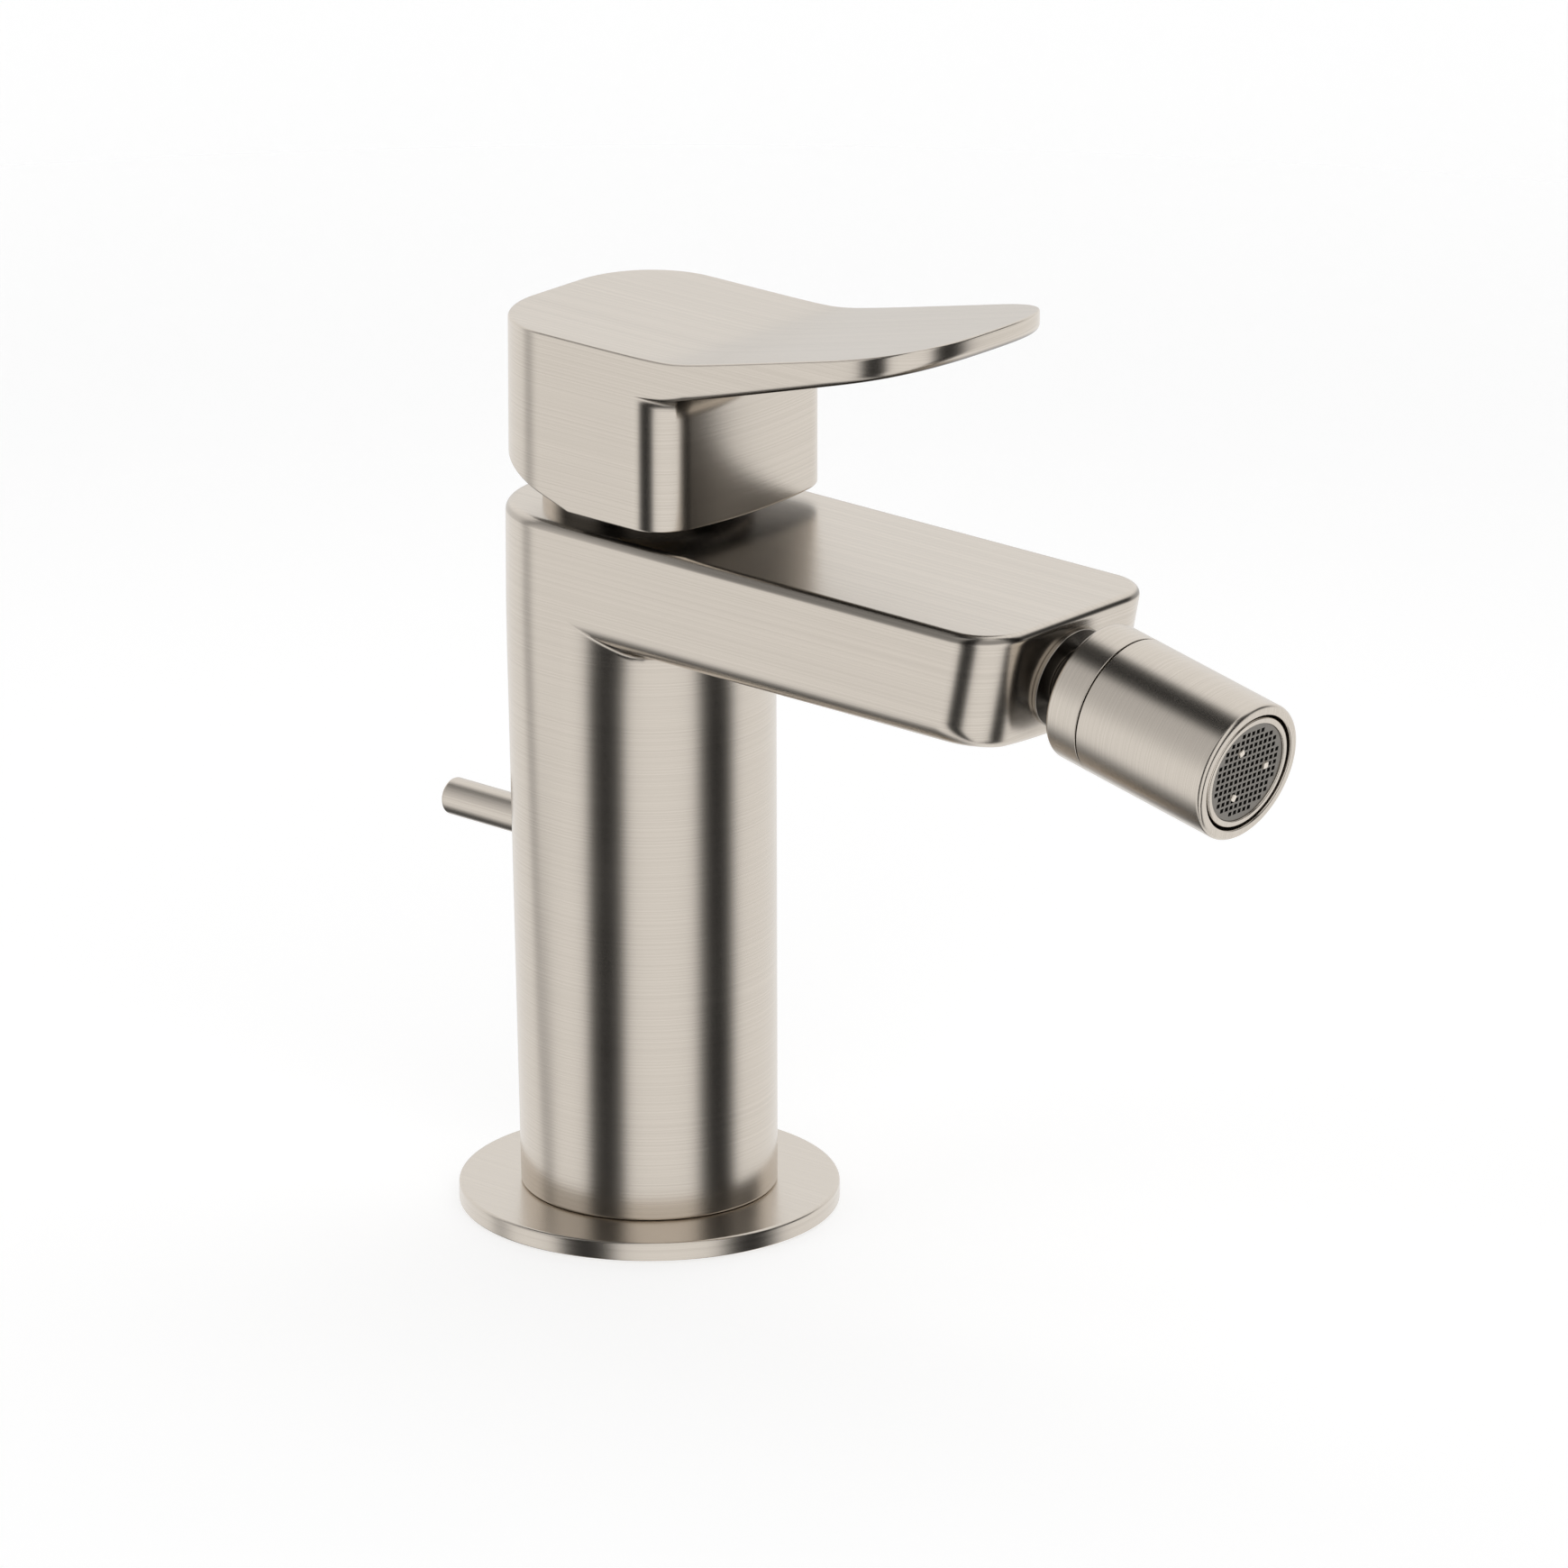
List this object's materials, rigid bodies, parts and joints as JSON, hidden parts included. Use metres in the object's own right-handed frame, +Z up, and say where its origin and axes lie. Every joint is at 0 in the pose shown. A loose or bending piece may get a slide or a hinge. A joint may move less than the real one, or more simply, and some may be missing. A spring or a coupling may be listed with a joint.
{
  "type": "bidet mixer",
  "caption": "Single-lever deck-mounted bidet mixer with a round column, square-edged spout, swivelling ball-joint nozzle with aerator and a pop-up waste knob at the back.",
  "frame": {"origin": "centre of the base flange on the deck plane", "axes": "+Z up along the column, +X along the spout, -Z out of the underside"},
  "size_m": [0.165, 0.06, 0.1572],
  "materials": {
    "satin_nickel": "brass with a satin brushed nickel finish",
    "brass": "turned brass",
    "steel": "stainless steel",
    "black_rubber": "moulded rubber",
    "dark_resin": "moulded resin",
    "pale_resin": "moulded resin",
    "grey_resin": "moulded resin",
    "red_resin": "moulded resin",
    "ceramic_white": "lapped ceramic"
  },
  "bodies": {
    "mixer_body": {"base_flange": "satin_nickel", "base_seal": "black_rubber", "body": "satin_nickel", "cartridge_seals": "black_rubber", "cartridge_base": "dark_resin", "fixed_disc": "ceramic_white", "cartridge_housing": "dark_resin", "cartridge_nut": "brass", "neck_ring": "satin_nickel", "ball_stem": "satin_nickel", "stem_seal": "black_rubber", "rod_bush": "pale_resin"},
    "mixing_turn": {"spindle_guide": "pale_resin", "spindle_pin": "steel", "limit_ring": "red_resin"},
    "lever": {"spindle": "brass", "handle": "satin_nickel", "handle_screw": "steel", "screw_cap": "satin_nickel"},
    "valve_disc": {"moving_disc": "ceramic_white", "disc_carrier": "pale_resin"},
    "swivel_liner": {"ball_liner": "pale_resin"},
    "nozzle": {"ball_cap": "satin_nickel", "ball_seal": "black_rubber", "nozzle_housing": "satin_nickel", "aerator_seal": "black_rubber", "aerator_cage": "grey_resin", "flow_disc": "pale_resin", "aerator_mesh": "steel", "aerator_grid": "grey_resin"},
    "waste_lift": {"waste_knob": "satin_nickel", "lift_block": "brass", "lift_rod": "steel"}
  },
  "joints": [
    {"name": "handle_turn", "type": "hinge", "parent": "mixer_body", "child": "mixing_turn", "pos_m": [0, 0, 0.108], "axis": [0, 0, 1], "range_deg": [-45, 45]},
    {"name": "handle_lift", "type": "hinge", "parent": "mixing_turn", "child": "lever", "pos_m": [0, 0, 0.108], "axis": [0, -1, 0], "range_deg": [0, 15]},
    {"name": "disc_slide", "type": "slide", "parent": "mixing_turn", "child": "valve_disc", "axis": [1, 0, 0], "range_m": [0, 0.0025]},
    {"name": "nozzle_turn", "type": "hinge", "parent": "mixer_body", "child": "swivel_liner", "pos_m": [0.09503, 0, 0.10306], "axis": [0.9789, 0, -0.2045], "range_deg": [-180, 180]},
    {"name": "nozzle_tilt", "type": "hinge", "parent": "swivel_liner", "child": "nozzle", "pos_m": [0.09503, 0, 0.10306], "axis": [0, 1, 0], "range_deg": [-15, 15]},
    {"name": "waste_pull", "type": "slide", "parent": "mixer_body", "child": "waste_lift", "axis": [0, 0, 1], "range_m": [0, 0.018]}
  ],
  "couplings": [
    {"joint": "disc_slide", "follows": "handle_lift", "m_per_rad": 0.00868}
  ]
}
